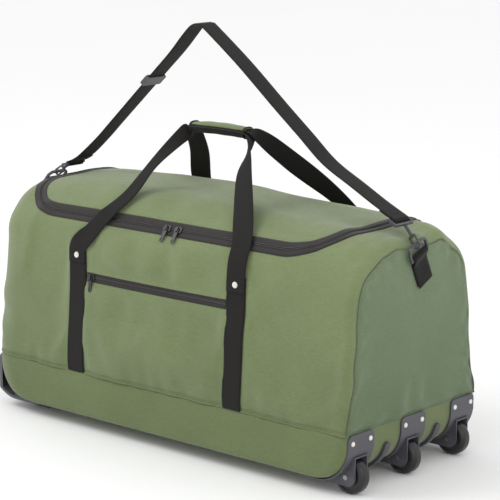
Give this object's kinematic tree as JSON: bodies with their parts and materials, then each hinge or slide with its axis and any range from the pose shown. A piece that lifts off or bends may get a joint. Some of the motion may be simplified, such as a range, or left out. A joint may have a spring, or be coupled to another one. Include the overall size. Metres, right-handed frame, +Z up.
{
  "type": "rolling duffel bag",
  "caption": "Soft duffel bag on a stiff base with corner wheels, zipped top flap, front pocket, joined carry handles and a shoulder strap.",
  "frame": {"origin": "centre of the bag's overall box on the floor it stands on", "axes": "+X along the bag towards its wheels, -Y out of the front with the pocket, +Z up"},
  "size_m": [0.8268, 0.3552, 0.6891],
  "materials": {
    "olive_nylon": "woven polyester with a soft hand",
    "grip_padding": "padded woven polyester with black binding",
    "webbing": "flat woven webbing",
    "zip_tape": "woven zip tape with a nylon coil",
    "lining": "thin plain lining",
    "board": "stiff board",
    "moulded_plastic": "finely textured moulded plastic",
    "buckle_plastic": "satin moulded plastic",
    "tyre_rubber": "smooth dark rubber",
    "wheel_hub": "moulded plastic",
    "axle_steel": "plain steel",
    "rivet_white": "off-white painted domed head",
    "zip_metal": "dark painted zinc"
  },
  "bodies": {
    "bag": {"main_panel": "olive_nylon", "wheel_end_panel": "olive_nylon", "far_end_panel": "olive_nylon", "base_tub": "olive_nylon", "front_left_webbing": "webbing", "front_right_webbing": "webbing", "rear_left_webbing": "webbing", "rear_right_webbing": "webbing", "strap_tab_wheel": "webbing", "strap_tab_far": "webbing", "main_zip_tape": "zip_tape", "pocket_zip_tape": "zip_tape", "pocket_lining": "lining", "base_board": "board", "far_end_skid": "moulded_plastic", "skid_feet": "moulded_plastic", "wheel_housing_front": "moulded_plastic", "wheel_housing_middle": "moulded_plastic", "wheel_housing_rear": "moulded_plastic", "skid_rib_front": "moulded_plastic", "skid_rib_rear": "moulded_plastic", "wheel_axle_front": "axle_steel", "wheel_axle_middle": "axle_steel", "wheel_axle_rear": "axle_steel", "strap_rivets": "rivet_white", "housing_rivets": "rivet_white"},
    "lid": {"lid_panel": "olive_nylon", "lid_zip_tape": "zip_tape"},
    "left_slider": {"main_zip_left_slider": "zip_metal"},
    "left_pull": {"main_zip_left_pull": "zip_metal"},
    "right_slider": {"main_zip_right_slider": "zip_metal"},
    "right_pull": {"main_zip_right_pull": "zip_metal"},
    "pocket_slider": {"pocket_zip_slider": "zip_metal"},
    "pocket_pull": {"pocket_zip_pull": "zip_metal"},
    "front_carry": {"front_handle": "webbing", "handle_grip": "grip_padding"},
    "rear_carry": {"rear_handle": "webbing"},
    "carry_strap": {"shoulder_strap": "webbing", "strap_frame_wheel": "buckle_plastic", "strap_frame_far": "buckle_plastic"},
    "adjuster": {"strap_adjuster": "buckle_plastic"},
    "hook_wheel": {"snap_hook_wheel": "buckle_plastic"},
    "hook_far": {"snap_hook_far": "buckle_plastic"},
    "ring_wheel": {"strap_ring_wheel": "buckle_plastic"},
    "ring_far": {"strap_ring_far": "buckle_plastic"},
    "wheel_front": {"wheel_hub_front": "wheel_hub", "wheel_tyre_front": "tyre_rubber"},
    "wheel_middle": {"wheel_hub_middle": "wheel_hub", "wheel_tyre_middle": "tyre_rubber"},
    "wheel_rear": {"wheel_hub_rear": "wheel_hub", "wheel_tyre_rear": "tyre_rubber"},
    "gate_wheel": {"hook_gate_wheel": "buckle_plastic"},
    "gate_far": {"hook_gate_far": "buckle_plastic"}
  },
  "joints": [
    {"name": "lid_open", "type": "hinge", "parent": "bag", "child": "lid", "pos_m": [0, 0.095, 0.4032], "axis": [-1, 0, 0], "range_deg": [0, 50]},
    {"name": "left_slider_run", "type": "slide", "parent": "lid", "child": "left_slider", "axis": [-1, 0, 0], "range_m": [0, 0.24]},
    {"name": "left_pull_flip", "type": "hinge", "parent": "left_slider", "child": "left_pull", "pos_m": [0.01, -0.14381, 0.37023], "axis": [-1, 0, 0], "range_deg": [0, 110]},
    {"name": "right_slider_run", "type": "slide", "parent": "lid", "child": "right_slider", "axis": [1, 0, 0], "range_m": [0, 0.21]},
    {"name": "right_pull_flip", "type": "hinge", "parent": "right_slider", "child": "right_pull", "pos_m": [0.034, -0.14381, 0.37023], "axis": [-1, 0, 0], "range_deg": [0, 110]},
    {"name": "pocket_slider_run", "type": "slide", "parent": "bag", "child": "pocket_slider", "axis": [1, 0, 0], "range_m": [0, 0.285]},
    {"name": "pocket_pull_flip", "type": "hinge", "parent": "pocket_slider", "child": "pocket_pull", "pos_m": [-0.144, -0.16743, 0.26922], "axis": [-1, 0, 0], "range_deg": [0, 110]},
    {"name": "front_handle_fold", "type": "hinge", "parent": "bag", "child": "front_carry", "pos_m": [0, -0.15947, 0.31605], "axis": [1, 0, 0], "range_deg": [0, 120], "deforming": ["front_handle", "handle_grip"]},
    {"name": "rear_handle_fold", "type": "hinge", "parent": "bag", "child": "rear_carry", "pos_m": [0, 0.15947, 0.31605], "axis": [-1, 0, 0], "range_deg": [0, 120], "deforming": ["rear_handle"]},
    {"name": "shoulder_strap_swing", "type": "hinge", "parent": "bag", "child": "carry_strap", "pos_m": [0.01526, -0.01027, 0.38991], "axis": [0.9994, 0, -0.0352], "range_deg": [-15, 15], "deforming": ["shoulder_strap"]},
    {"name": "adjuster_slide", "type": "slide", "parent": "carry_strap", "child": "adjuster", "axis": [0.7392, 0, 0.6735], "range_m": [-0.09, 0.06]},
    {"name": "hook_swivel_wheel", "type": "hinge", "parent": "carry_strap", "child": "hook_wheel", "pos_m": [0.39764, -0.01027, 0.3913], "axis": [-0.6428, 0, 0.766], "range_deg": [-6, 6]},
    {"name": "ring_tilt_wheel", "type": "hinge", "parent": "bag", "child": "ring_wheel", "pos_m": [0.4105, -0.0015, 0.358], "axis": [0, 0.8988, 0.4384], "range_deg": [-2, 2]},
    {"name": "hook_swivel_far", "type": "hinge", "parent": "carry_strap", "child": "hook_far", "pos_m": [-0.36266, -0.01027, 0.41385], "axis": [0.866, 0, 0.5], "range_deg": [-6, 6]},
    {"name": "ring_tilt_far", "type": "hinge", "parent": "bag", "child": "ring_far", "pos_m": [-0.39284, -0.01027, 0.38853], "axis": [0, 1, 0], "range_deg": [-2, 2]},
    {"name": "gate_press_wheel", "type": "hinge", "parent": "hook_wheel", "child": "gate_wheel", "pos_m": [0.40885, -0.01027, 0.38634], "axis": [0, 1, 0], "range_deg": [0, 20], "stiffness_Nm_per_rad": 0.02},
    {"name": "gate_press_far", "type": "hinge", "parent": "hook_far", "child": "gate_far", "pos_m": [-0.37489, -0.01027, 0.41303], "axis": [0, -1, 0], "range_deg": [0, 20], "stiffness_Nm_per_rad": 0.02},
    {"name": "wheel_spin_front", "type": "hinge", "parent": "bag", "child": "wheel_front", "pos_m": [0.388, -0.1345, 0.029], "axis": [0, 1, 0], "continuous": true},
    {"name": "wheel_spin_middle", "type": "hinge", "parent": "bag", "child": "wheel_middle", "pos_m": [0.388, 0, 0.029], "axis": [0, 1, 0], "continuous": true},
    {"name": "wheel_spin_rear", "type": "hinge", "parent": "bag", "child": "wheel_rear", "pos_m": [0.388, 0.1345, 0.029], "axis": [0, 1, 0], "continuous": true}
  ]
}
